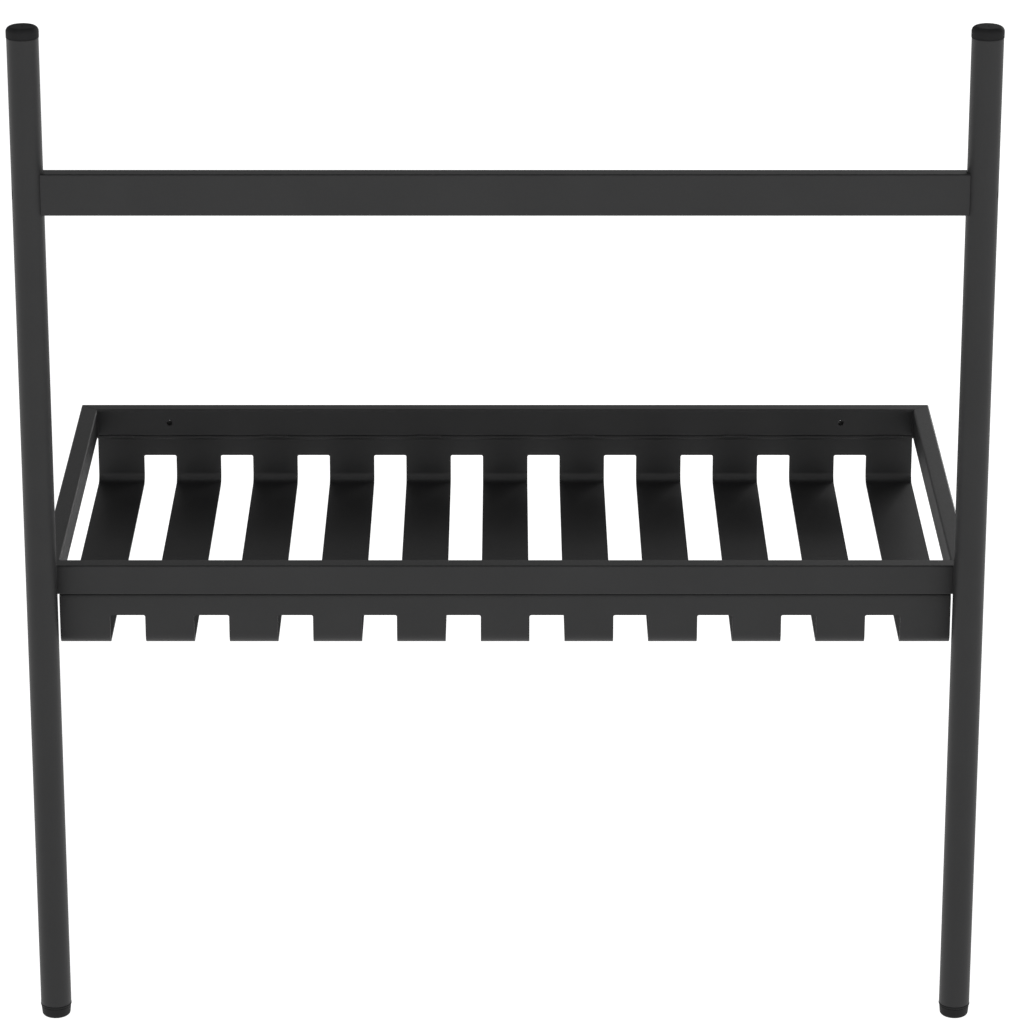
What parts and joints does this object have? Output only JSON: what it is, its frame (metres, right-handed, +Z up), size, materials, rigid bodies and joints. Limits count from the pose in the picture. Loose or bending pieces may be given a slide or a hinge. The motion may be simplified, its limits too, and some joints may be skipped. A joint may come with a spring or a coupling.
{
  "type": "firewood log rack",
  "caption": "Wall-fixed firewood rack: two round posts, a flat upper rail and a shallow slatted tray hung behind the posts in a rectangular rim.",
  "frame": {"origin": "middle of the line of wall screw holes, on the back face of the rear rim rail, 382.8 mm above the floor", "axes": "+X to the right seen from the front, +Y into the wall, +Z up"},
  "size_m": [0.7796, 0.4408, 0.851],
  "materials": {
    "powder_coat": "satin black powder coat with a fine texture",
    "cap_plastic": "matte moulded plastic",
    "foot_rubber": "matte black rubber",
    "black_bolt": "black oxide steel",
    "zinc_steel": "bright zinc plate"
  },
  "bodies": {
    "root": {"access_hole_plugs": "cap_plastic", "front_rim_rail": "powder_coat", "left_foot_cap": "foot_rubber", "left_post": "powder_coat", "left_rim_rail": "powder_coat", "left_rivet_nuts": "zinc_steel", "left_saddle_plate": "powder_coat", "left_top_cap": "cap_plastic", "left_tray_bolts": "black_bolt", "left_tray_washers": "black_bolt", "rear_rim_rail": "powder_coat", "right_foot_cap": "foot_rubber", "right_post": "powder_coat", "right_rim_rail": "powder_coat", "right_rivet_nuts": "zinc_steel", "right_saddle_plate": "powder_coat", "right_top_cap": "cap_plastic", "right_tray_bolts": "black_bolt", "right_tray_washers": "black_bolt", "slatted_trough": "powder_coat", "upper_rail": "powder_coat", "upper_rail_bolts": "black_bolt", "upper_rail_end_blocks": "zinc_steel", "upper_rail_washers": "zinc_steel", "wall_screw_sleeves": "powder_coat"}
  },
  "joints": []
}
